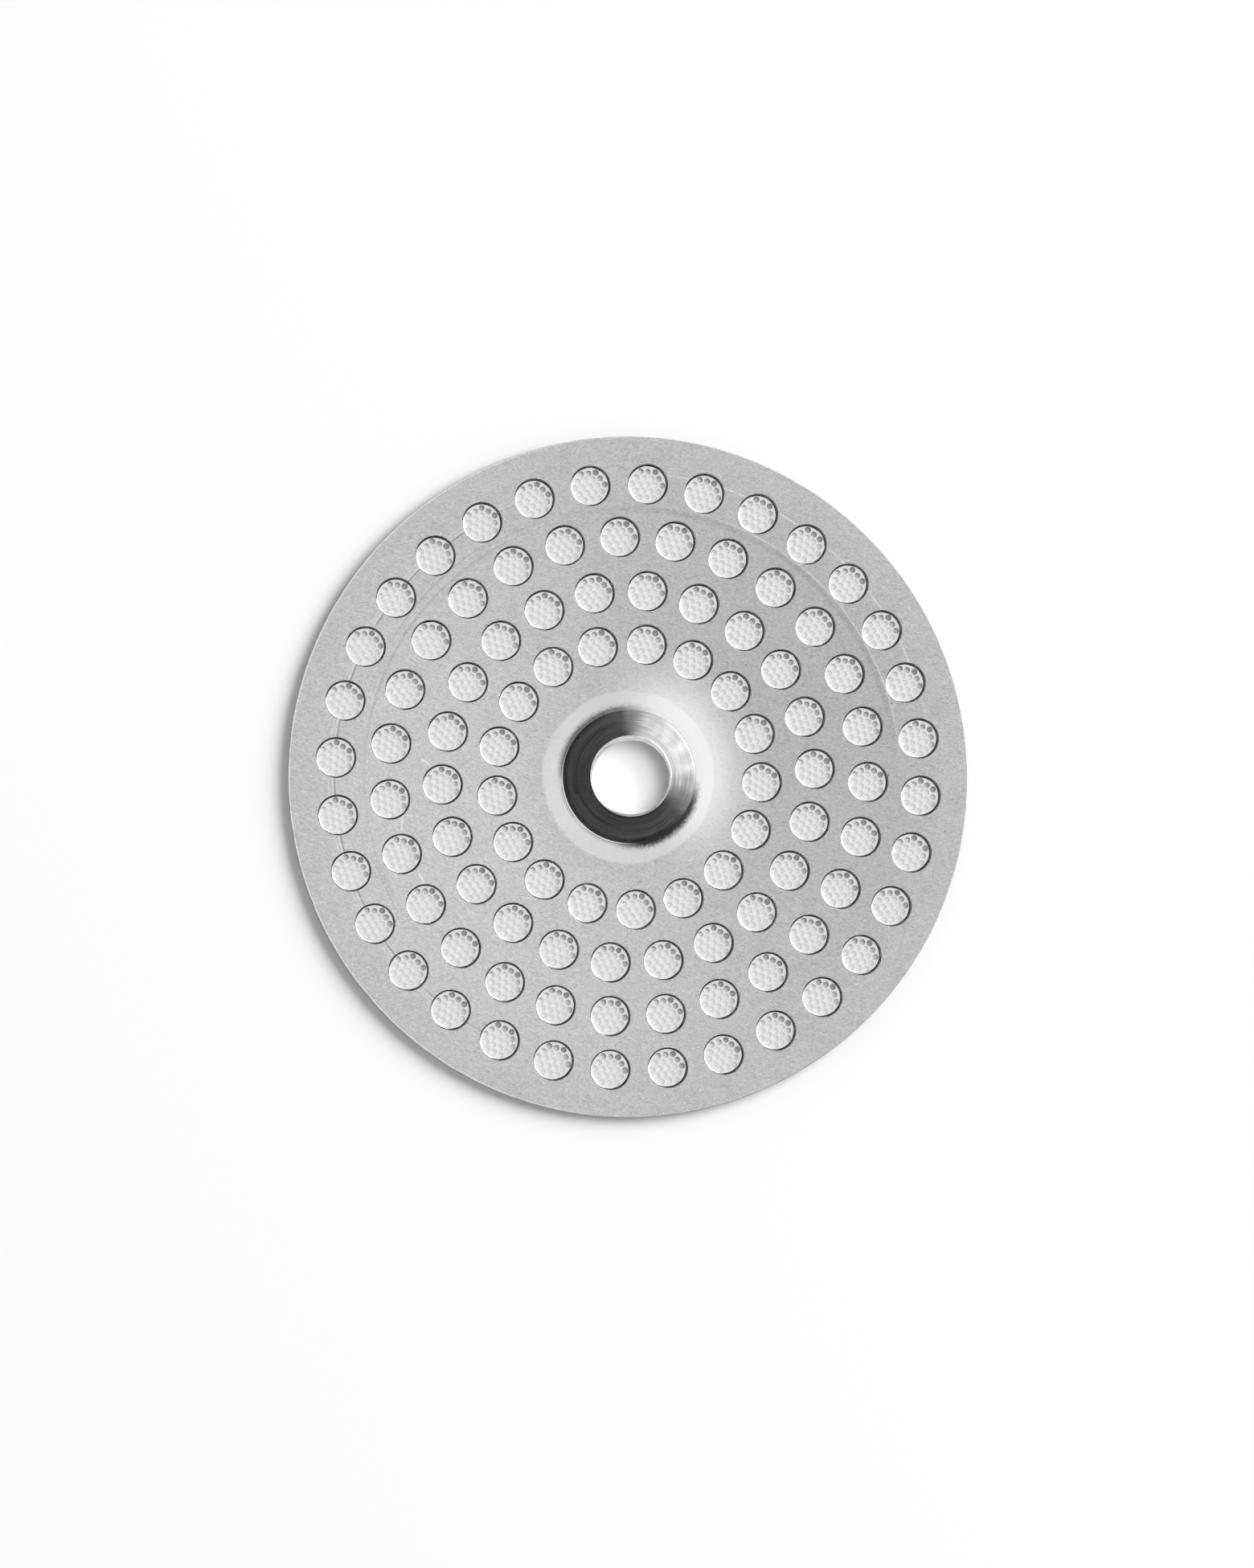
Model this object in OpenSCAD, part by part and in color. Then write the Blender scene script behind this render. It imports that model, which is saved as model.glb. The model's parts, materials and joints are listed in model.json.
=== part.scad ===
// Shower screen for an espresso group: one round sheet of stainless steel.
// Its flat lower face looks at the coffee. Its upper face looks at the water.
// Blind pockets are etched into the water side in rings, and each pocket has
// a cluster of fine holes through the sheet that is left as its floor.
// A dimple pressed up in the middle seats a countersunk screw from below.
// Sizes are in millimetres, with the lower face on z = 0.

/* [Disc] */
// Diameter of the disc
disc_d = 58; // [52:0.5:66]
// Thickness of the sheet
sheet_t = 1; // [0.8:0.05:1.4]
// Chamfer that breaks the two sharp edges of the rim
rim_break = 0.08; // [0.04:0.01:0.15]

/* [Pockets] */
// Diameter of a pocket at its mouth
pocket_d = 3.4; // [2.4:0.1:3.8]
// Thickness of the sheet left under a pocket
floor_t = 0.2; // [0.15:0.05:0.5]
// Width of the etched wall, which leans in from the mouth to the floor
wall_w = 0.1; // [0.04:0.02:0.2]
// Distance from the rim to the centres of the outermost ring
rim_margin = 4; // [3:0.1:6]
// Plain sheet left between one ring of pockets and the next
ring_land = 1.15; // [0.8:0.05:2]
// Plain sheet left between neighbours in the outermost ring
pocket_land = 1.5; // [1.2:0.05:3]
// Number of pockets that each ring has fewer than the ring outside it
ring_loss_count = 5; // [4:1:6]
// Angle of the first pocket in each ring, from the outermost ring inwards
ring_start_angles = [0, 180, 0, 0]; // [0:5:360]

/* [Fine holes] */
// Number of hexagonal rows of holes round the middle hole of a pocket
hole_row_count = 2; // [1:1:3]
// Web of sheet left between two fine holes
hole_web = 0.1; // [0.08:0.01:0.3]
// Plain floor left between the outermost holes and the pocket's wall
hole_margin = 0.05; // [0.03:0.01:0.2]

/* [Screw dimple] */
// Diameter of the screw hole
bore_d = 6.4; // [5.3:0.1:7]
// Width of the flat lip round the screw hole
lip_w = 0.25; // [0.1:0.05:0.5]
// Full angle of the cone, the same as that of the screw's head
cone_angle = 90; // [80:5:120]
// Diameter of the cone where it meets the water side
cone_d = 11.3; // [10:0.1:12.5]
// Thickness of the cone's wall, thinned by the pressing
cone_wall = 0.72; // [0.5:0.02:0.9]
// Radius of the hollow corner at the cone's foot
foot_r = 0.2; // [0.1:0.05:0.4]
// Rounding of the seat's mouth on the lower face
mouth_r = 0.3; // [0.1:0.05:0.6]
// Diameter of the area that the pressing draws up round the cone
swell_d = 18.4; // [14:0.2:19]
// Height by which it is drawn up at the cone's foot, on both faces
swell_h = 0.12; // [0.04:0.02:0.2]

/* [Hidden] */

rim_r = disc_d / 2;
pocket_r = pocket_d / 2;
bore_r = bore_d / 2;
lip_r = bore_r + lip_w;
cone_r = cone_d / 2;
swell_r = swell_d / 2;
cone_tan = tan(cone_angle / 2);
// Angle through which the face turns from flat to the slope of the cone
cone_turn = 90 - cone_angle / 2;
// Heights of the cone's foot and of the flat lip over the lower face
foot_z = sheet_t + swell_h;
lip_z = foot_z + (cone_r - lip_r) / cone_tan;
// The seat is the cone moved inwards by its wall, measured square to it
mouth_corner_r = cone_r + sheet_t * cone_tan - cone_wall / cos(cone_angle / 2);
seat_top_z = swell_h + (mouth_corner_r - bore_r) / cone_tan;

// Rings are counted inwards, down to the last that clears the drawn area
outer_ring_r = rim_r - rim_margin;
least_ring_r = swell_r + pocket_r;
ring_pitch = pocket_d + ring_land;
ring_count = floor((outer_ring_r - least_ring_r) / ring_pitch) + 1;
outer_ring_n = round(2 * PI * outer_ring_r / (pocket_d + pocket_land));

// The holes share out what the webs and the margin leave of the floor's radius
floor_r = pocket_r - wall_w;
hole_d = (floor_r - hole_margin - hole_row_count * hole_web) / (hole_row_count + 0.5);
hole_pitch = hole_d + hole_web;

// Extra length of a cutter past the face that it opens
over = 0.05;
// Steps in each curve of the section
curve_steps = 8;
// Sides of the disc, of a pocket and of a fine hole
disc_fn = 256;
pocket_fn = 32;
hole_fn = 16;

// Points of an arc that turns from one direction to another about its centre
function arc(centre, radius, from, to) = [
    for (i = [0 : curve_steps])
        let (a = from + (to - from) * i / curve_steps)
        centre + radius * [cos(a), sin(a)]
];

// Distance from the corner of two faces to where a rounding of it starts
function run_in(radius) = radius * tan(cone_turn / 2);

// Smooth swell of a face: raised and level at the inner radius, flat at swell_r
function swell(inner_r, flat_z) = [
    for (i = [0 : curve_steps])
        let (share = i / curve_steps)
        [inner_r + (swell_r - inner_r) * share, flat_z + swell_h * (1 + cos(180 * share)) / 2]
];

// Section of the plain disc with its pressed dimple, right of the axis
module disc_section() {
    slope_dir = -90 - cone_turn;
    foot_start_r = cone_r + run_in(foot_r);
    mouth_start_r = mouth_corner_r + run_in(mouth_r);
    water_side = concat(
        arc([foot_start_r, foot_z + foot_r], foot_r, slope_dir, -90),
        swell(foot_start_r, sheet_t)
    );
    rim = [
        [rim_r - rim_break, sheet_t],
        [rim_r, sheet_t - rim_break],
        [rim_r, rim_break],
        [rim_r - rim_break, 0]
    ];
    coffee_side = concat(
        arc([mouth_start_r, swell_h + mouth_r], mouth_r, slope_dir, -90),
        swell(mouth_start_r, 0)
    );
    bore = [[bore_r, seat_top_z], [bore_r, lip_z], [lip_r, lip_z]];
    inwards = [len(coffee_side) - 1 : -1 : 0];
    polygon(concat(water_side, rim, [for (i = inwards) coffee_side[i]], bore));
}

// Cutter of one pocket and its cluster of fine holes, standing on the z axis
module pocket_cutter() {
    depth = sheet_t - floor_t;
    cut_h = depth + over;
    cut_top_r = floor_r + wall_w * cut_h / depth;
    translate([0, 0, floor_t])
        cylinder(h = cut_h, r1 = floor_r, r2 = cut_top_r, $fn = pocket_fn);
    rows = [-hole_row_count : hole_row_count];
    for (row = rows, place = rows)
        if (abs(row + place) <= hole_row_count)
            translate([row * hole_pitch * cos(30), (place + row / 2) * hole_pitch, -over])
                cylinder(h = floor_t + 2 * over, d = hole_d, $fn = hole_fn);
}

// Cutters of all pockets, each cluster turned to face the middle of the disc
module pocket_rings() {
    for (ring = [0 : ring_count - 1]) {
        ring_r = outer_ring_r - ring * ring_pitch;
        ring_n = outer_ring_n - ring * ring_loss_count;
        start = ring_start_angles[ring % len(ring_start_angles)];
        for (i = [0 : ring_n - 1])
            rotate([0, 0, start + i * 360 / ring_n])
                translate([ring_r, 0, 0])
                    pocket_cutter();
    }
}

module shower_screen() {
    color("silver")
        difference() {
            rotate_extrude($fn = disc_fn) disc_section();
            pocket_rings();
        }
}

shower_screen();
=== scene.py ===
import json
import math

import bmesh
import bpy
import numpy as np
from mathutils import Matrix, Vector


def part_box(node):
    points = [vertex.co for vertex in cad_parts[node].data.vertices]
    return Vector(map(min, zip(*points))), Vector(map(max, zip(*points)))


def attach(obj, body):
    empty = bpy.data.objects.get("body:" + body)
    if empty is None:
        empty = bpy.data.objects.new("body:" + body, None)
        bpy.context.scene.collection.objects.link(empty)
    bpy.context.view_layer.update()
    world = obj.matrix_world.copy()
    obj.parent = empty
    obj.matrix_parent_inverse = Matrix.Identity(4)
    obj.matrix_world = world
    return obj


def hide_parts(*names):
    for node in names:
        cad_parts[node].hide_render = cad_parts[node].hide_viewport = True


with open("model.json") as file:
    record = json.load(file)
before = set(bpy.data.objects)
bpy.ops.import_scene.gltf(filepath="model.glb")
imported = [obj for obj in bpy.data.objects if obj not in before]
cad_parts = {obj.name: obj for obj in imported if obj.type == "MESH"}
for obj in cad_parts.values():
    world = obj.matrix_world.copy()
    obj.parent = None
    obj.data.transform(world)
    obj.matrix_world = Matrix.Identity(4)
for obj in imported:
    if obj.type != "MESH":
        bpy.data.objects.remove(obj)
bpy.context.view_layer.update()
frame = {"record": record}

# The etched pockets. Four rings of them lie in the water side, and acid has eaten each one 0.7 mm
# deep into the 1 mm sheet. The wall it leaves is steep, with a hollow corner at the floor, and 19
# fine holes on a hexagonal lattice go through the 0.3 mm that is left under it.
MM = 0.001
mounts = {m["name"]: m for m in frame["record"]["mounts"]}
disc_r = mounts["rim"]["dims"]["r_mm"] * MM
sheet_z = mounts["water_face"]["pos_m"][2]
floor_z = 0.2 * MM
ring_r = np.array([25.0, 20.45, 15.9, 11.35]) * MM
ring_n = np.array([32, 27, 22, 17])
ring_start = np.radians([0, 180, 0, 0])
hole_r, hole_pitch = 0.268 * MM, 0.64 * MM
pocket_sides = 30
wall_r = np.array([1.57, 1.605, 1.65, 1.682, 1.69, 1.7, 1.744]) * MM
wall_z = np.array([0.2, 0.213, 0.25, 0.33, 0.6, 0.963, 1.0]) * MM
wall_bite = np.array([0, 0.01, 0.014, 0.01, 0.006, 0.002, 0])
cell_in, cell_out = 1.9 * MM, 2.1 * MM
arc_steps, side_steps = 8, 7
rng = np.random.default_rng(11)
patches = []


def patch(points, faces, finish):
    """Adds a patch of the skin: points (n, 3) in metres, faces (m, 3 or 4) and its finish's number."""
    patches.append((np.reshape(points, (-1, 3)), np.asarray(faces), finish))


def ring_points(radius, angles, z):
    """Points radius * (cos angle, sin angle) at height z, for arrays that broadcast together."""
    x, y, z = np.broadcast_arrays(radius * np.cos(angles), radius * np.sin(angles), z)
    return np.stack([x, y, z], -1)


def band(rows, sides, closed=True):
    """Quads between the rows of a grid of rows x sides points: point (i, j) joins (i, j + 1) and the
    same two of row i + 1. Rows that run outwards or downwards, seen from outside, face outwards."""
    last = sides if closed else sides - 1
    i, j = np.meshgrid(np.arange(rows - 1), np.arange(last), indexing="ij")
    k = (j + 1) % sides
    return np.stack([i * sides + j, (i + 1) * sides + j, (i + 1) * sides + k, i * sides + k], -1).reshape(-1, 4)


def copies(local, faces, r, n, start, finish):
    """Sets n copies of a pocket's patch at radius r: (x + r, y) turned by start + i * 360 / n.
    local is (points, 3), or (n, points, 3) where each copy differs a little."""
    local = np.broadcast_to(local, (n,) + np.shape(local)[-2:])
    turn = start + np.arange(n)[:, None] * 2 * math.pi / n
    x, y = local[..., 0] + r, local[..., 1]
    points = np.stack([x * np.cos(turn) - y * np.sin(turn), x * np.sin(turn) + y * np.cos(turn), local[..., 2]], -1)
    faces = np.asarray(faces)
    patch(points, (faces + np.arange(n)[:, None, None] * local.shape[1]).reshape(-1, faces.shape[1]), finish)


# Centres of the 19 holes: two hexagonal rows round the middle one.
row, place = np.meshgrid(np.arange(-2, 3), np.arange(-2, 3), indexing="ij")
inside = abs(row + place) <= 2
centres = np.stack([row * math.cos(math.pi / 6), place + row / 2], -1)[inside] * hole_pitch
# Each hole's cell: 6 corners, 12 points round the hole's top edge, 12 and 6 on the lower face.
corner = np.radians(np.arange(6) * 60)
round_hole = np.radians(np.arange(12) * 30)
corners = centres[:, None] + hole_pitch / math.sqrt(3) * np.stack([np.cos(corner), np.sin(corner)], -1)
reach = np.hypot(corners[..., 0], corners[..., 1])
on_outline = reach > 1.8 * hole_pitch
step = 2 * math.pi / pocket_sides
heading = np.round(np.arctan2(corners[..., 1], corners[..., 0]) / step) * step
on_circle = wall_r[0] * np.stack([np.cos(heading), np.sin(heading)], -1)
corners = np.where(on_outline[..., None], on_circle, corners)
k = np.arange(6)
cell_top = np.concatenate([
    np.stack([k, (k + 1) % 6, 6 + 2 * k + 1], -1),
    np.stack([k, 6 + 2 * k + 1, 6 + 2 * k], -1),
    np.stack([(k + 1) % 6, 6 + (2 * k + 2) % 12, 6 + 2 * k + 1], -1),
])
j = np.arange(12)
cell_wall = np.stack([6 + j, 6 + (j + 1) % 12, 18 + (j + 1) % 12, 18 + j], -1)
cell_under = np.where(cell_top < 6, cell_top + 30, cell_top + 12)[:, ::-1]
cells = np.arange(len(centres))[:, None, None] * 36
for r, n, start in zip(ring_r, ring_n, ring_start):
    # No two etched holes are quite alike: each is a little off its place, its size and true round.
    spread = hole_r * (1 + 0.03 * rng.standard_normal((n, 19, 1)) + 0.02 * rng.standard_normal((n, 19, 12)))
    off = 0.007 * MM * rng.standard_normal((n, 19, 1, 2))
    ring = np.stack([np.cos(round_hole), np.sin(round_hole)], -1)
    top = centres[:, None] + off + np.minimum(spread, 0.29 * MM)[..., None] * ring
    under = centres[:, None] + off + np.minimum(spread * 0.97, 0.29 * MM)[..., None] * ring
    wide = np.broadcast_to(corners, (n,) + corners.shape)
    flat = np.concatenate([wide, top, under, wide], 2)
    height = np.repeat([floor_z, floor_z, 0, 0], [6, 12, 12, 6])
    local = np.concatenate([flat, np.broadcast_to(height, flat.shape[:3])[..., None]], -1).reshape(n, -1, 3)
    copies(local, (cells + cell_top).reshape(-1, 3), r, n, start, 1)
    copies(local, (cells + cell_wall).reshape(-1, 4), r, n, start, 1)
    copies(local, (cells + cell_under).reshape(-1, 3), r, n, start, 0)
    # The etched wall, from the floor up to the mouth.
    angles = np.arange(pocket_sides) * step
    bite = rng.standard_normal((n, len(wall_r), pocket_sides)) * wall_bite[:, None] * MM
    wall = ring_points(wall_r[:, None] + bite, angles, wall_z[:, None] + 0 * bite)
    copies(wall.reshape(n, -1, 3), band(len(wall_r), pocket_sides), r, n, start, 1)

# The plain sheet between the pockets. It is cold rolled, and each pocket has a four sided cell of
# it on the water side and on the coffee side, whose edges are arcs and radii of the whole disc.
for r, n, start in zip(ring_r, ring_n, ring_start):
    half = math.pi / n
    across = np.linspace(-half, half, arc_steps + 1)
    along = np.linspace(r + cell_out, r - cell_in, side_steps + 1)
    edge_r = np.concatenate([np.full(4, r + cell_out), along[:-1], np.full(8, r - cell_in), along[::-1][:-1], np.full(4, r + cell_out)])
    edge_a = np.concatenate([across[4:8], np.full(7, half), across[::-1][:8], np.full(7, -half), across[:4]])
    edge = ring_points(edge_r, edge_a, 0.0) - [r, 0, 0]
    mouth = ring_points(wall_r[-1], angles, 0.0)
    under = ring_points(wall_r[0], angles, 0.0)
    copies(np.concatenate([mouth, edge]) + [0, 0, sheet_z], band(2, pocket_sides), r, n, start, 0)
    copies(np.concatenate([under, edge]), band(2, pocket_sides)[:, ::-1], r, n, start, 0)


def zip_rings(r_in, n_in, r_out, n_out, z, facing_up=True):
    """Flat strip between two circles of unlike numbers of points: the two rows of edges are taken
    in the order of their middles' angles, and each edge makes a triangle with the other circle."""
    inner = ring_points(r_in, np.arange(n_in) * 2 * math.pi / n_in, z)
    outer = ring_points(r_out, np.arange(n_out) * 2 * math.pi / n_out, z)
    mid_in, mid_out = (np.arange(n_in) + 0.5) / n_in, (np.arange(n_out) + 0.5) / n_out
    i, o = np.arange(n_in), np.arange(n_out)
    near_out = np.searchsorted(mid_out, mid_in) % n_out
    near_in = np.searchsorted(mid_in, mid_out) % n_in
    faces = np.concatenate([
        np.stack([i, n_in + near_out, (i + 1) % n_in], -1),
        np.stack([near_in, n_in + o, n_in + (o + 1) % n_out], -1),
    ])
    patch(np.concatenate([inner, outer]), faces if facing_up else faces[:, ::-1], 0)


hub_sides, rim_sides = 256, 512
swell_r = 9.2 * MM
sheet_r = 27.6 * MM
steps_in = np.append(ring_n[1:] * arc_steps, hub_sides)
reach_in = np.append(ring_r[1:] + cell_out, swell_r)
for z, facing_up in ((sheet_z, True), (0.0, False)):
    for r, n, inner_r, inner_n in zip(ring_r, ring_n * arc_steps, reach_in, steps_in):
        zip_rings(inner_r, inner_n, r - cell_in, n, z, facing_up)
    zip_rings(ring_r[0] + cell_out, ring_n[0] * arc_steps, sheet_r, rim_sides, z, facing_up)

# The rim. The blank is punched out of sheet, so its edge is square, with both corners broken by
# tumbling, and it has small nicks from years of being prised out of the group with a blade.
rim_r = np.array([0, -0.12, -0.06, -0.02, 0, 0, -0.012, -0.035, -0.09]) * MM + disc_r
rim_z = np.array([0, 0, 0, 0.02, 0.06, 0.965, 0.99, 1.0, 1.0]) * MM
rim_r[0] = sheet_r
rim_r = np.append(rim_r, sheet_r)
rim_z = np.append(rim_z, sheet_z)
turn = np.arange(rim_sides) * 2 * math.pi / rim_sides
nick = np.zeros(rim_sides)
for at, depth in zip(rng.integers(0, rim_sides, 26), rng.uniform(0.008, 0.035, 26)):
    away = (np.arange(rim_sides) - at + rim_sides // 2) % rim_sides - rim_sides // 2
    nick += depth * MM * np.exp(-((away / 1.1) ** 2))
top_edge = np.array([0, 0, 0, 0, 0.1, 0.5, 1.0, 0.8, 0, 0])
rim = ring_points(rim_r[:, None] - top_edge[:, None] * nick, turn, rim_z[:, None] + 0 * turn)
patch(rim, band(len(rim_r), rim_sides)[:, ::-1], 0)

# The dimple for the screw. A punch has drawn the sheet up into a 90 degree cone with a short bore,
# and the sheet round its foot has come up a little with it. Cone, lip and bore were then turned.
bore_r = mounts["screw_hole"]["dims"]["r_mm"] * MM
lip_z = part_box("shower_screen")[1].z
foot_r, cone_r, swell_h = 5.675 * MM, 5.65 * MM, 0.12 * MM
share = np.linspace(1, 0, 9)
swell_z = swell_h * (1 + np.cos(math.pi * share)) / 2
arc = np.radians(np.linspace(0, 45, 5))[1:]
top_r = np.concatenate([foot_r + (swell_r - foot_r) * share, foot_r - 0.06 * MM * np.sin(arc)])
top_z = np.concatenate([sheet_z + swell_z, sheet_z + swell_h + 0.06 * MM * (1 - np.cos(arc))])
slope_r = np.append(top_r[-1] - 0.02 * MM, np.linspace(top_r[-1], 3.475 * MM, 5)[1:])
slope_z = top_z[-1] + top_r[-1] - slope_r
lip_r = np.array([3.455, 3.43, 3.33, 3.25, 3.21, 3.2, 3.2, 3.21, 3.235]) * MM
lip_h = np.array([3.312, 3.32, 3.318, 3.314, 3.295, 3.25, 2.60, 2.56, 2.517]) * MM
lip_h[:5] += lip_z - 3.32 * MM
seat_r = np.array([4.4, 5.544, 5.62, 5.69, 5.756]) * MM
seat_z = np.array([1.352, 0.208, 0.149, 0.127, 0.12]) * MM
under_r = foot_r + (swell_r - foot_r) * share[::-1]
under_r = np.maximum(under_r, 5.756 * MM + 0.02 * MM)
under_z = swell_h * (1 + np.cos(math.pi * share[::-1])) / 2
hub_r = np.concatenate([top_r, slope_r, lip_r, seat_r, under_r])
hub_z = np.concatenate([top_z, slope_z, lip_h, seat_z, under_z])
turn = np.arange(hub_sides) * 2 * math.pi / hub_sides
# The lip's width isn't even: the bore was punched a little off, and its edge has torn unevenly.
camera_turn = math.radians(-18.84)
seen = turn - camera_turn
lip_wide = 0.25 + 0.13 * np.sin(seen) + 0.06 * -np.cos(2 * seen) + 0.02 * np.sin(3 * seen + 1)
first_lip = len(top_r) + len(slope_r)
pull = np.zeros(len(hub_r))
pull[first_lip + 1:first_lip + 9] = [0.1, 0.5, 0.85, 1, 1, 1, 1, 0.9]
hub = ring_points(hub_r[:, None] + pull[:, None] * (0.25 - lip_wide) * MM, turn, hub_z[:, None] + 0 * turn)
faces = band(len(hub_r), hub_sides)[:, ::-1]
level = np.repeat(np.arange(len(hub_r) - 1), hub_sides)
turned = (level >= len(top_r) - 1) & (level < first_lip + len(lip_r) + len(seat_r) - 2)
patch(hub, faces[~turned], 0)
patch(hub, faces[turned], 2)

# The whole skin. The patches share their edges' points, so merging those makes one closed solid.
starts = np.cumsum([0] + [len(p) for p, f, m in patches])
points = np.concatenate([p for p, f, m in patches])
loops = np.concatenate([(f + s).ravel() for (p, f, m), s in zip(patches, starts)])
sizes = np.concatenate([np.full(len(f), f.shape[1]) for p, f, m in patches])
finishes = np.concatenate([np.full(len(f), m) for p, f, m in patches])
mesh = bpy.data.meshes.new("screen")
mesh.vertices.add(len(points))
mesh.vertices.foreach_set("co", points.ravel())
mesh.loops.add(len(loops))
mesh.loops.foreach_set("vertex_index", loops.astype(np.int32))
mesh.polygons.add(len(sizes))
mesh.polygons.foreach_set("loop_start", (np.cumsum(sizes) - sizes).astype(np.int32))
mesh.polygons.foreach_set("material_index", finishes.astype(np.int32))
mesh.update(calc_edges=True)
skin = bmesh.new()
skin.from_mesh(mesh)
bmesh.ops.remove_doubles(skin, verts=skin.verts, dist=2e-7)
open_edges = sum(not e.is_manifold for e in skin.edges)
print("open edges", open_edges, "faces", len(skin.faces), "volume mm3", skin.calc_volume(signed=True) * 1e9)
skin.to_mesh(mesh)
skin.free()
mesh.shade_smooth()
mesh.set_sharp_from_angle(angle=math.radians(34))
mesh.calc_loop_triangles()
print("triangles", len(mesh.loop_triangles))
screen = bpy.data.objects.new("screen", mesh)
bpy.context.scene.collection.objects.link(screen)
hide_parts("shower_screen")
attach(screen, "root")


class Wire:
    """A node's output in a material. Sums on it add Math nodes, and node() adds any other node."""

    def __init__(self, tree, socket=None):
        self.tree, self.socket = tree, socket

    def node(self, kind, inputs, output=0, **settings):
        """A node of that type: its settings are set first, then the values or links of its sockets."""
        made = self.tree.nodes.new("ShaderNode" + kind)
        stops = settings.pop("stops", None)
        for name, value in settings.items():
            setattr(made, name, value)
        if stops:
            ramp = made.color_ramp
            while len(ramp.elements) < len(stops):
                ramp.elements.new(0.5)
            for element, (position, tone) in zip(ramp.elements, stops):
                element.position = position
                element.color = (tone, tone, tone, 1)
        by_name = {s.identifier: s for s in made.inputs}
        for key, value in inputs.items():
            socket = made.inputs[key] if isinstance(key, int) else by_name.get(key) or made.inputs[key]
            if isinstance(value, Wire):
                self.tree.links.new(value.socket, socket)
            else:
                socket.default_value = value
        return Wire(self.tree, made.outputs[output])

    def math(self, operation, *values, clamp=False):
        return self.node("Math", dict(enumerate(values)), operation=operation, use_clamp=clamp)

    def __add__(self, other):
        return self.math("ADD", self, other)

    def __sub__(self, other):
        return self.math("SUBTRACT", self, other)

    def __mul__(self, other):
        return self.math("MULTIPLY", self, other)

    def __truediv__(self, other):
        return self.math("DIVIDE", self, other)

    def __radd__(self, other):
        return self.math("ADD", other, self)

    def __rsub__(self, other):
        return self.math("SUBTRACT", other, self)

    def __rmul__(self, other):
        return self.math("MULTIPLY", other, self)

    def rise(self, low, high):
        """0 below low, 1 above high and a smooth step between them; low over high makes it fall."""
        return self.node("MapRange", {"Value": self, "From Min": low, "From Max": high, "To Min": 0.0, "To Max": 1.0}, interpolation_type="SMOOTHSTEP")

    def noise(self, scale, detail=2.0, roughness=0.5, distortion=0.0):
        """Noise from 0 to 1 on this vector, scale cells to a unit of it."""
        return self.node("TexNoise", {"Vector": self, "Scale": scale, "Detail": detail, "Roughness": roughness, "Distortion": distortion})

    def stretched(self, angle, along, across):
        """This vector turned by angle degrees and divided by the lengths along and across."""
        turned = self.node("Mapping", {"Vector": self, "Rotation": (0, 0, math.radians(-angle))}, vector_type="POINT")
        return turned.node("VectorMath", {0: turned, 1: (1 / along, 1 / across, 1.0)}, operation="MULTIPLY")


def steel(name):
    """A new metal material: returns it, its shader node and Object coordinates in millimetres."""
    material = bpy.data.materials.new(name)
    material.use_nodes = True
    tree = material.node_tree
    shader = tree.nodes["Principled BSDF"]
    shader.inputs["Metallic"].default_value = 1.0
    wire = Wire(tree)
    place = wire.node("TexCoord", {}, output=3)
    return material, shader, place.node("VectorMath", {0: place, "Scale": 1000.0}, operation="SCALE")


def finish_steel(shader, tone, roughness, height, depth):
    """Links grey tone, roughness and a bump of that height in millimetres times depth."""
    tree = tone.tree
    colour = tone.node("CombineColor", {0: tone, 1: tone, 2: tone})
    bump = tone.node("Bump", {"Height": height, "Distance": depth * MM, "Strength": 1.0})
    tree.links.new(colour.socket, shader.inputs["Base Color"])
    tree.links.new(roughness.socket, shader.inputs["Roughness"])
    tree.links.new(bump.socket, shader.inputs["Normal"])


# Cold rolled sheet, with a pebbly grain of short slanting wrinkles. The ring that the press held
# round the dimple is smoother, with a painted sheen on it, and rubbing in the group has left arcs near the rim.
# Painted highlights and painted shade are laid into its tone as well.
sheet, shader, place = steel("rolled_sheet")
apart = place.node("SeparateXYZ", {"Vector": place})
x, y = apart, Wire(apart.tree, apart.socket.node.outputs[1])
radius = (x * x + y * y).math("SQRT", x * x + y * y)
angle = y.math("ARCTAN2", y, x)
wrinkle = place.stretched(-30, 0.5, 0.24).noise(1.0, 4.0, 0.7, 1.8)
cloud = place.noise(0.35, 2.0)
fine = place.stretched(-35, 0.24, 0.11).noise(1.0, 3.0, 0.7, 1.0)


def facing(azimuth, wide, soft):
    """1 where the angle round the disc, seen as in the picture, is within wide degrees of azimuth,
    softened over soft degrees to each side: the cosine of the difference, cut with a smooth step."""
    turn = math.radians(azimuth) + camera_turn
    near = (x * math.cos(turn) + y * math.sin(turn)) / radius
    return near.rise(math.cos(math.radians(min(wide + soft, 179))), math.cos(math.radians(wide - soft)))


def arcs(start, end, across, along, seed, low, high):
    """Broken lines round the axis between two radii: noise stretched along the arc, cut at a level."""
    lines = place.node("CombineXYZ", {"X": radius * across, "Y": angle * along, "Z": seed}).noise(1.0, 1.0, 0.5, 0.15)
    return radius.rise(start - 0.3, start + 0.3) * radius.rise(end + 0.3, end - 0.3) * lines.rise(low, high)


edge = radius + (cloud - 0.5) * 0.5
# Painted sheen, partly real: the held ring is smoother and less bumpy, and its tone is raised to stand in for its
# sheen.
held_ring_and_sheen = edge.rise(7.5, 7.2)
# Painted highlight: a bright patch on the sheet at the right of the dimple, towards the lamp, where grain and bump are
# also calmed.
painted_highlight_patch = facing(18, 54, 34) * (radius + (cloud - 0.5) * 1.5).rise(12.4, 6.2)


def line(middle, wide):
    """A line round the axis at the radius middle, with soft edges: wide millimetres in all."""
    return radius.rise(middle - wide * 0.5, middle - wide * 0.1) * radius.rise(middle + wide * 0.5, middle + wide * 0.1)


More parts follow.
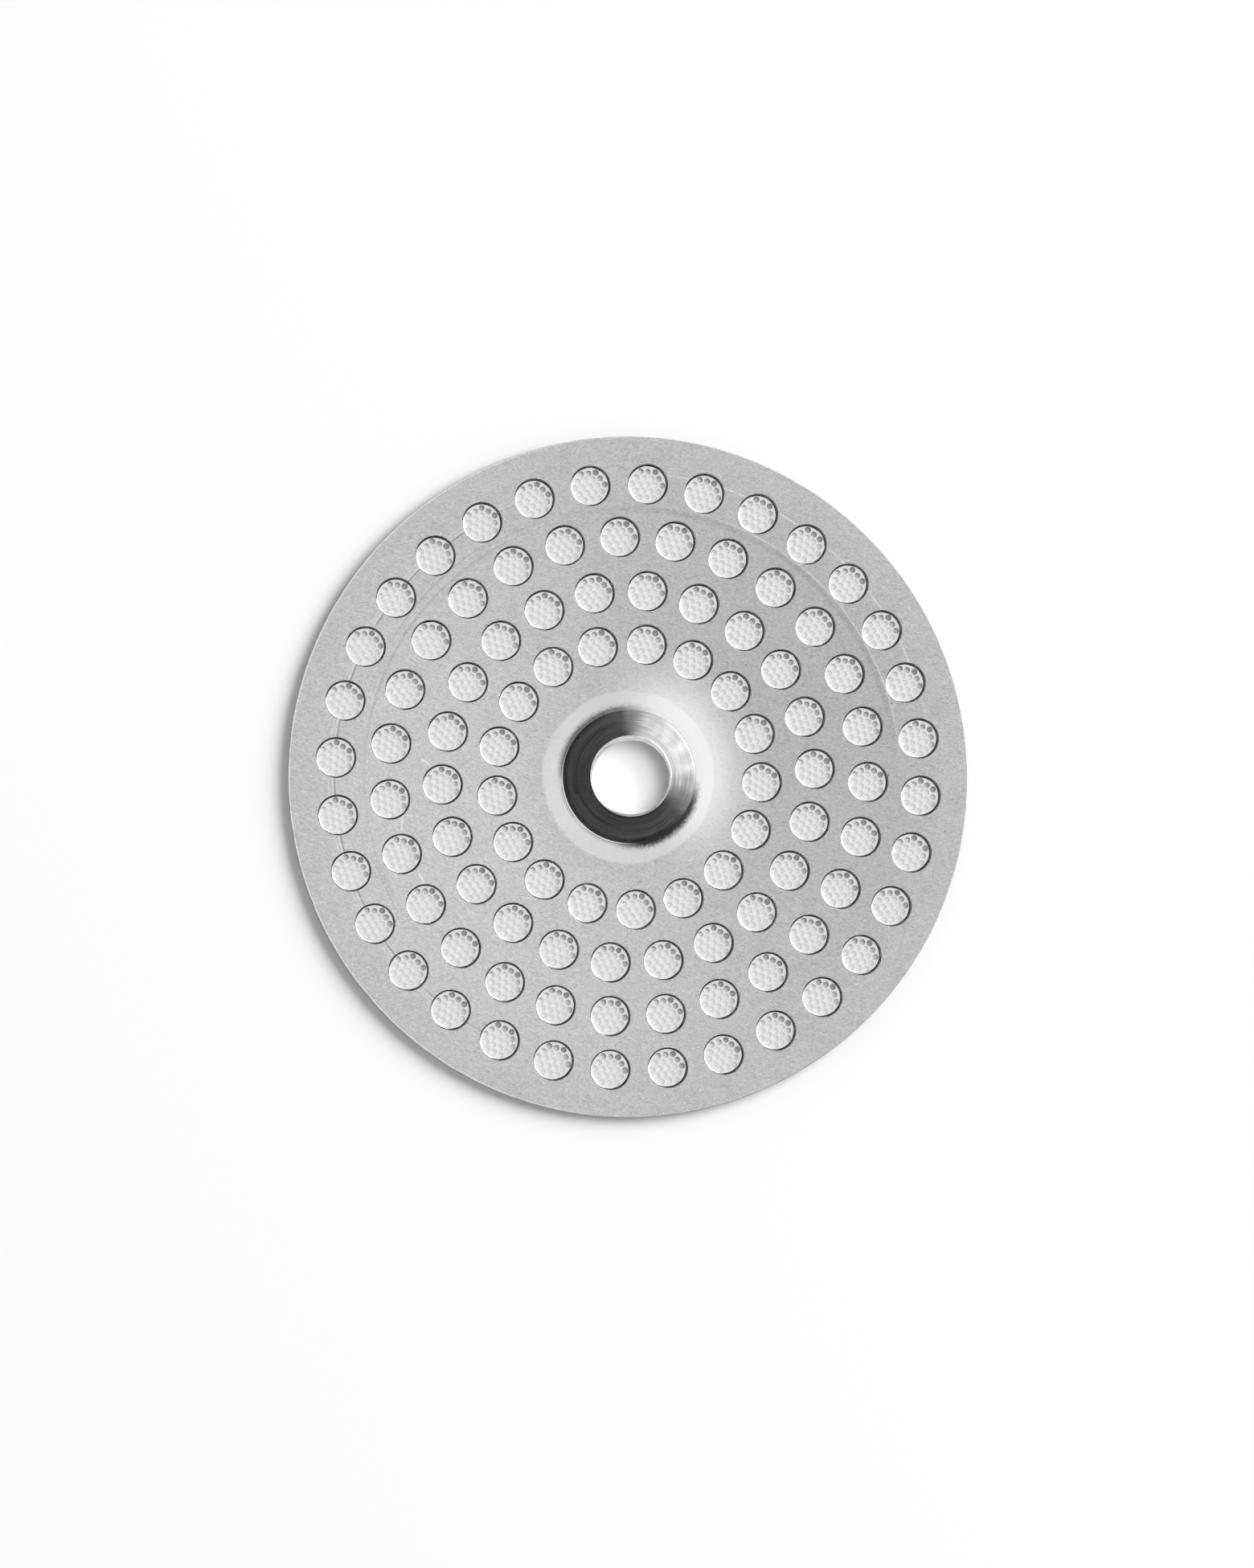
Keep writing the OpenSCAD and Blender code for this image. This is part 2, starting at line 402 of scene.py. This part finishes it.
def scratch(azimuth, from_axis, heading, length, wide):
    """A straight scratch, its middle given by azimuth and radius in the picture, soft all round."""
    at = math.radians(azimuth) + camera_turn
    way = math.radians(heading) + camera_turn
    across_x, across_y = x - from_axis * math.cos(at), y - from_axis * math.sin(at)
    along = (across_x * math.cos(way) + across_y * math.sin(way)).math("ABSOLUTE", across_x * math.cos(way) + across_y * math.sin(way))
    aside = (across_y * math.cos(way) - across_x * math.sin(way)).math("ABSOLUTE", across_y * math.cos(way) - across_x * math.sin(way))
    return along.rise(length / 2, length / 3) * aside.rise(wide, wide * 0.3)


left_band = facing(178, 62, 14) * place.noise(0.22, 1.0).rise(0.24, 0.38)
rub_left = facing(164, 52, 14) * arcs(22.4, 23.4, 6.5, 0.7, 7.0, 0.50, 0.64)
rub_dark = (line(25.07, 0.2) + line(25.42, 0.14) * 0.5) * left_band * 0.40 + rub_left * 0.20
rub_dark = rub_dark + line(22.85, 0.8) * facing(54, 42, 12) * 0.13 + scratch(0.3, 22.1, 40, 0.4, 0.12) * 0.5
rub_light = radius.rise(25.14, 25.2) * radius.rise(25.66, 25.56) * left_band * 0.35
rub_light = rub_light + line(23.2, 0.15) * facing(40, 30, 12) * 0.6 + line(25.9, 0.2) * facing(50, 36, 10) * 0.55
for azimuth, from_axis, heading, length in ((176, 17.4, -35, 0.9), (192, 19.8, 88, 1.2), (206, 19.7, -60, 1.1), (202, 21.6, -62, 1.4)):
    rub_light = rub_light + scratch(azimuth, from_axis, heading, length, 0.11) * 0.8
# Painted shade: a dark, ragged band round the dimple's foot, strongest at the upper left and lower right of the
# picture.
painted_foot_shade_noise = place.noise(3.5, 4.0, 0.8)
painted_foot_shade_side = facing(130, 40, 24).math("MAXIMUM", facing(130, 40, 24), facing(-52, 40, 14) * 1.3)
painted_foot_shade = (radius + (painted_foot_shade_noise - 0.5) * 0.8 - facing(-50, 24, 16) * 0.15).rise(6.4, 5.72) * (painted_foot_shade_side * 0.85 + 0.06)
# Painted shade: broken dark lines just outside the dimple's foot, only on the side away from the lamp.
painted_foot_lines = radius.rise(5.76, 5.79) * radius.rise(5.86, 5.83) + 0.6 * radius.rise(5.90, 5.93) * radius.rise(5.99, 5.96)
# Painted shade that dims the lamp's glint on the hollow corner at the dimple's foot.
painted_foot_glint_dimming = radius.rise(5.56, 5.60) * radius.rise(5.74, 5.69) * facing(38, 46, 16)
painted_foot_lines = painted_foot_lines * facing(210, 118, 10) * arcs(5.5, 6.2, 1.0, 3.0, 2.0, 0.30, 0.45)
# Painted shade: the sheet is lighter towards the lower left of the picture and darker towards the upper right, most of
# all within 22 mm of the axis.
lean = math.radians(205) + camera_turn
painted_side_shade = (x * math.cos(lean) + y * math.sin(lean)) / radius * 0.11 * radius.rise(28.5, 22.0) + (x * math.cos(lean) + y * math.sin(lean)) * 0.0022
grain = ((wrinkle - 0.5) * 0.52 + (fine - 0.5) * 0.40) * (1.0 - painted_highlight_patch * 0.6)
tone = (0.475 + grain * (1.0 - held_ring_and_sheen * 0.75) + (cloud - 0.5) * 0.04 + held_ring_and_sheen * 0.14 + painted_highlight_patch * 0.32) * (1.0 + painted_side_shade)
tone = (tone + rub_light * 0.2) * (1.0 - rub_dark) * (1.0 - 0.8 * painted_foot_shade) * (1.0 - 0.6 * painted_foot_lines) * (1.0 - 0.5 * painted_foot_glint_dimming)
roughness = 0.31 + (fine - 0.5) * 0.10 - held_ring_and_sheen * 0.05
height = (wrinkle * 0.6 + fine * 0.4) * (1.0 - held_ring_and_sheen * 0.85) * (1.0 - painted_highlight_patch * 0.5) - rub_dark * 0.5 + rub_light * 0.3
specks = place.node("TexVoronoi", {"Vector": place, "Scale": 0.4}).rise(0.05, 0.02)
tone = tone * (1.0 - 0.4 * specks)
ticks = place.node("CombineXYZ", {"X": angle * 90.0, "Y": radius * 2.0, "Z": 0.0}).noise(1.0, 3.0, 0.8)
z = Wire(apart.tree, apart.socket.node.outputs[2])
# Painted shade: the rim's outer wall is darkened all round.
painted_side_wall_shade = radius.rise(28.95, 28.99) * z.rise(0.95, 0.90)
# Painted highlight: a bright line on the rim's top edge at the left of the picture, broken by dark ticks.
painted_burr_highlight = radius.rise(28.84, 28.9) * facing(180, 78, 20) * (1.0 - painted_side_wall_shade)
tone = (tone + painted_burr_highlight * 0.22) * (1.0 - painted_burr_highlight * ticks.rise(0.6, 0.66) * 0.6) * (1.0 - 0.4 * painted_side_wall_shade)
finish_steel(shader, tone, roughness, height, 0.018)

# Etched steel of the pockets and their holes: bare, clean and a little dull from the acid.
# The flat tops of the webs carry a painted sheen, and the lower walls painted shade.
etched, shader, place = steel("etched_steel")
pits = place.noise(9.0, 2.0, 0.6)
cloud = place.noise(1.2, 2.0)
level = Wire(place.tree, place.node("SeparateXYZ", {"Vector": place}).socket.node.outputs[2])
# Painted sheen: the flat tops of the webs between the holes are made lighter.
painted_web_sheen = level.rise(0.19, 0.198) * level.rise(0.24, 0.21)
# Painted shade: the lower part of each pocket's wall, at the hollow corner, is made darker.
corner = level.rise(0.205, 0.24) * level.rise(0.8, 0.4)
finish_steel(shader, 0.41 + painted_web_sheen * 0.33 - corner * 0.15 + (pits - 0.5) * 0.16 + (cloud - 0.5) * 0.06, 0.26 + (pits - 0.5) * 0.16, pits, 0.008)

# Turned steel of the cone, lip, bore and seat, with the fine rings that the tool left. Its tone
# carries painted shade on the side away from the lamp, and painted shade that dims the lamp's glints.
turned_steel, shader, place = steel("turned_steel")
apart = place.node("SeparateXYZ", {"Vector": place})
x, y = apart, Wire(apart.tree, apart.socket.node.outputs[1])
radius = (x * x + y * y).math("SQRT", x * x + y * y)
angle = y.math("ARCTAN2", y, x)
rings = place.node("CombineXYZ", {"X": radius * 5.0, "Y": angle * 0.6, "Z": 0.0}).noise(1.0, 4.0, 0.7, 0.1)
wide_rings = place.node("CombineXYZ", {"X": radius * 2.2, "Y": angle * 0.25, "Z": 8.0}).noise(1.0, 2.0, 0.6)
lines = place.node("CombineXYZ", {"X": radius * 9.0, "Y": angle * 1.4, "Z": 2.0}).noise(1.0, 1.0, 0.5, 0.2).rise(0.58, 0.70)
smear = place.node("CombineXYZ", {"X": radius * 2.5, "Y": angle * 2.0, "Z": 5.0}).noise(1.0, 3.0, 0.65, 0.3)
# Painted shade, partly real: the tool rings are real, but on the side away from the lamp the cone is darker, its rings
# show darker, and it darkens more towards the foot.
shaded = facing(212, 104, 22)
# Painted shade: dark streaks on the cone at both ends of the flag's dark reflection.
flag_turn = math.radians(215) + camera_turn
from_flag = (x * math.cos(flag_turn) + y * math.sin(flag_turn)) / radius
streaks = place.node("CombineXYZ", {"X": radius * 8.0, "Y": angle * 0.9, "Z": 6.0}).noise(1.0, 3.0, 0.75, 0.3)
painted_streak_shade = (from_flag + (streaks - 0.5) * 1.7).rise(-0.88, -0.66) * from_flag.rise(-0.42, -0.62) * from_flag.rise(-0.91, -0.78)
lip = Wire(apart.tree, apart.socket.node.outputs[2]).rise(3.22, 3.28)
lip_lines = place.node("CombineXYZ", {"X": radius * 16.0, "Y": angle * 3.0, "Z": 4.0}).noise(1.0, 2.0, 0.6, 0.4)
# Painted shade that dims the lamp's glint on the cone's outer and inner parts, on the side towards the lamp.
painted_glint_dimming = (radius.rise(5.0, 5.35) * 0.2 + radius.rise(4.15, 3.7) * 0.32) * facing(28, 42, 22) * (1.0 - lip)
cone_tone = 0.82 + (rings - 0.5) * 0.10 - shaded * (wide_rings.rise(0.48, 0.60) * 0.26 + lines * 0.25 - (rings - 0.5) * 0.7)
cone_tone = cone_tone * (1.0 - painted_streak_shade * (1.0 - lip) * 0.38) * (1.0 - 0.5 * shaded * radius.rise(5.1, 5.5)) * (1.0 - painted_glint_dimming)
finish_steel(shader, cone_tone - lip * (0.22 + (lip_lines - 0.5) * 0.9), 0.19 + (smear - 0.5) * 0.10, rings + smear * 0.1, 0.007)

for material in (sheet, etched, turned_steel):
    mesh.materials.append(material)

# The studio. A pale floor with painted pools of light glowing under the bore and the pockets, a white surround,
# one soft key lamp high at the right of the picture, and a tall black flag round the left and the bottom that the steel
# mirrors.
def aim(azimuth, elevation, distance):
    """Point at that distance. The azimuth is counted in the picture from its right, anticlockwise."""
    a, e = math.radians(azimuth) + camera_turn, math.radians(elevation)
    return Vector((math.cos(a) * math.cos(e), math.sin(a) * math.cos(e), math.sin(e))) * distance


def surface(name, u, v, function):
    """Open grid mesh object of function(u, v) over the arrays u and v."""
    grid = function(u[:, None], v[None, :])
    made = bpy.data.meshes.new(name)
    made.from_pydata(grid.reshape(-1, 3).tolist(), [], band(len(u), len(v), closed=False).tolist())
    thing = bpy.data.objects.new(name, made)
    bpy.context.scene.collection.objects.link(thing)
    return thing


def plain(name, tone, glow):
    """Matt material of one tone, with a glow that only the camera, gloss and glass see."""
    material = bpy.data.materials.new(name)
    material.use_nodes = True
    tree = material.node_tree
    tree.nodes.remove(tree.nodes["Principled BSDF"])
    wire = Wire(tree)
    matt = wire.node("BsdfDiffuse", {"Color": (tone, tone, tone, 1)})
    path = tree.nodes.new("ShaderNodeLightPath")
    seen_by = [Wire(tree, path.outputs[s]) for s in ("Is Camera Ray", "Is Glossy Ray", "Is Transmission Ray")]
    seen = seen_by[0].math("ADD", seen_by[0] + seen_by[1], seen_by[2], clamp=True)
    light = wire.node("Emission", {"Color": (1, 1, 1, 1), "Strength": seen * glow})
    both = wire.node("AddShader", {0: matt, 1: light})
    tree.links.new(both.socket, tree.nodes["Material Output"].inputs["Surface"])
    return material


def soft_edged(name, tone, glow, azimuth, wide, soft, top, top_soft):
    """A plain material that fades out to nothing: it's whole within wide degrees of an azimuth and
    up to the elevation top, and gone a further soft degrees away, so that the steel shows no edge."""
    material = plain(name, tone, glow)
    tree = material.node_tree
    wire = Wire(tree)
    place = wire.node("TexCoord", {}, output=3)
    parts = place.node("SeparateXYZ", {"Vector": place}).socket.node.outputs
    x, y, z = [Wire(tree, part) for part in parts]
    out = (x * x + y * y).math("SQRT", x * x + y * y)
    turn = math.radians(azimuth) + camera_turn
    near = (x * math.cos(turn) + y * math.sin(turn)) / out
    rise = z.math("ARCTAN2", z, out)
    cover = near.rise(math.cos(math.radians(wide + soft)), math.cos(math.radians(wide)))
    cover = cover * rise.rise(math.radians(top + top_soft), math.radians(top))
    output = tree.nodes["Material Output"].inputs["Surface"]
    whole = Wire(tree, output.links[0].from_socket)
    veil = cover.node("MixShader", {0: cover, 1: cover.node("BsdfTransparent", {}), 2: whole})
    tree.links.new(veil.socket, output)
    return material


floor = surface("floor", np.linspace(-3, 3, 2), np.linspace(-3, 3, 2), lambda u, v: np.stack(np.broadcast_arrays(u, v, -2e-5), -1))
floor.data.materials.append(plain("white_floor", 0.93, 0.03))
tree = floor.data.materials[0].node_tree
place = Wire(tree).node("TexCoord", {}, output=3)
parts = place.node("SeparateXYZ", {"Vector": place}).socket.node.outputs


def openings(azimuth, shift, centres, inner, outer):
    """Mask of painted pools of light on the floor: 1 under the openings, moved by shift as the shadow would move them.
    centres is a list of (ring radius, number, start), and each spot fades from 1 at the radius inner to 0 at outer, all
    in mm."""
    turn = math.radians(azimuth) + camera_turn
    x = Wire(tree, parts[0]) * 1000.0 - shift * math.cos(turn)
    y = Wire(tree, parts[1]) * 1000.0 - shift * math.sin(turn)
    out = (x * x + y * y).math("SQRT", x * x + y * y)
    angle = y.math("ARCTAN2", y, x)
    spots = 0.0
    for r, n, start in centres:
        pitch = 2 * math.pi / n
        turns = (angle - start) / pitch
        along = (turns - turns.math("ROUND", turns)) * (pitch * r)
        away = out - r
        spots = (away * away + along * along).math("SQRT", away * away + along * along).rise(outer, inner) + spots
    return spots


# Painted light: the floor glows brighter in pools under the bore and the pockets, shifted to the lower left as by the
# part's shadow, and its matt tone is lowered under the pockets.
painted_bore_light = openings(215, 1.17, [(0.0, 1, 0.0)], 2.45, 4.35)
painted_pocket_light = openings(248, 0.52, list(zip(ring_r / MM, ring_n, ring_start)), 1.12, 1.86)
front = 1.0 - Wire(tree).node("NewGeometry", {}, output=6)
painted_bore_light, painted_pocket_light = painted_bore_light * front, painted_pocket_light * front
glow = next(n for n in tree.nodes if n.type == "EMISSION").inputs["Strength"]
painted_pool_floor_tone = 0.93 - painted_pocket_light * 0.63
matt = next(n for n in tree.nodes if n.type == "BSDF_DIFFUSE").inputs["Color"]
tree.links.new(painted_pool_floor_tone.node("CombineColor", {0: painted_pool_floor_tone, 1: painted_pool_floor_tone, 2: painted_pool_floor_tone}).socket, matt)
tree.links.new((Wire(tree, glow.links[0].from_socket) * (1.0 + painted_bore_light * 16.0 + painted_pocket_light * 17.5)).socket, glow)

flag_r = 2.0
flag_rise = np.radians(np.linspace(0, 62, 9))
flag_out = np.append(0.038, flag_r * np.cos(flag_rise))
flag_up = np.append(0.0001, flag_r * np.sin(flag_rise) + 0.0001)
flag = surface("flag", np.radians(np.linspace(55, 375, 65)) + camera_turn, np.arange(10.0),
               lambda u, v: np.stack([np.cos(u) * flag_out, np.sin(u) * flag_out, flag_up + 0 * u], -1))
flag.data.materials.append(soft_edged("black_cloth", 0.062, 0.0, 215, 120, 32, 46, 12))
card = surface("card", np.radians(np.linspace(-45, 100, 30)) + camera_turn, np.radians(np.linspace(-1, 36, 7)),
               lambda u, v: 1.8 * np.stack([np.cos(u) * np.cos(v), np.sin(u) * np.cos(v), np.sin(v) + 0 * u], -1))
card.data.materials.append(soft_edged("white_card", 0.3, 0.97, 30, 26, 36, 23, 11))
for prop in (flag, card):
    prop.visible_camera = prop.visible_diffuse = prop.visible_shadow = False

lamp = bpy.data.lights.new("key", "AREA")
lamp.shape = "DISK"
lamp.size = 2.0
lamp.energy = 0.71 * math.pi * 2.5 ** 2 * math.pi / math.sin(math.radians(38))
key = bpy.data.objects.new("key", lamp)
key.location = aim(28, 38, 2.5)
key.rotation_mode = "QUATERNION"
key.rotation_quaternion = key.location.to_track_quat("Z", "Y")
bpy.context.scene.collection.objects.link(key)

world = bpy.data.worlds.new("surround")
bpy.context.scene.world = world
world.use_nodes = True
sky = world.node_tree
path = sky.nodes.new("ShaderNodeLightPath")
seen = [Wire(sky, path.outputs[s]) for s in ("Is Camera Ray", "Is Glossy Ray", "Is Transmission Ray")]
seen = seen[0].math("ADD", seen[0] + seen[1], seen[2], clamp=True)
sky.links.new((0.43 + seen * 0.57).socket, sky.nodes["Background"].inputs["Strength"])
sky.nodes["Background"].inputs["Color"].default_value = (1, 1, 1, 1)
bpy.context.scene.view_settings.view_transform = "Standard"

# The camera looks down from 5 degrees to the left of straight above, with the disc's rings turned
# 18.84 degrees, and a long lens. The picture is 1560 x 1951 and the disc is 846.7 pixels tall.
pixel = disc_r / 423.35
camera = bpy.data.cameras.new("camera")
camera.lens = 36 * 0.6 / (1951 * pixel)
camera.clip_start, camera.clip_end = 0.01, 10
eye = bpy.data.objects.new("camera", camera)
back = aim(200, 86, 1.0)
up = aim(90, 0, 1.0)
side = up.cross(back).normalized()
up = back.cross(side)
centre = Vector((0, 0, 0.5 * MM)) - up * (975.5 - 966.6) * pixel - side * (782.05 - 780) * pixel
turn_to = Matrix((side, up, back)).transposed().to_4x4()
eye.matrix_world = Matrix.Translation(centre + back * 0.6) @ turn_to
bpy.context.scene.collection.objects.link(eye)
bpy.context.scene.camera = eye
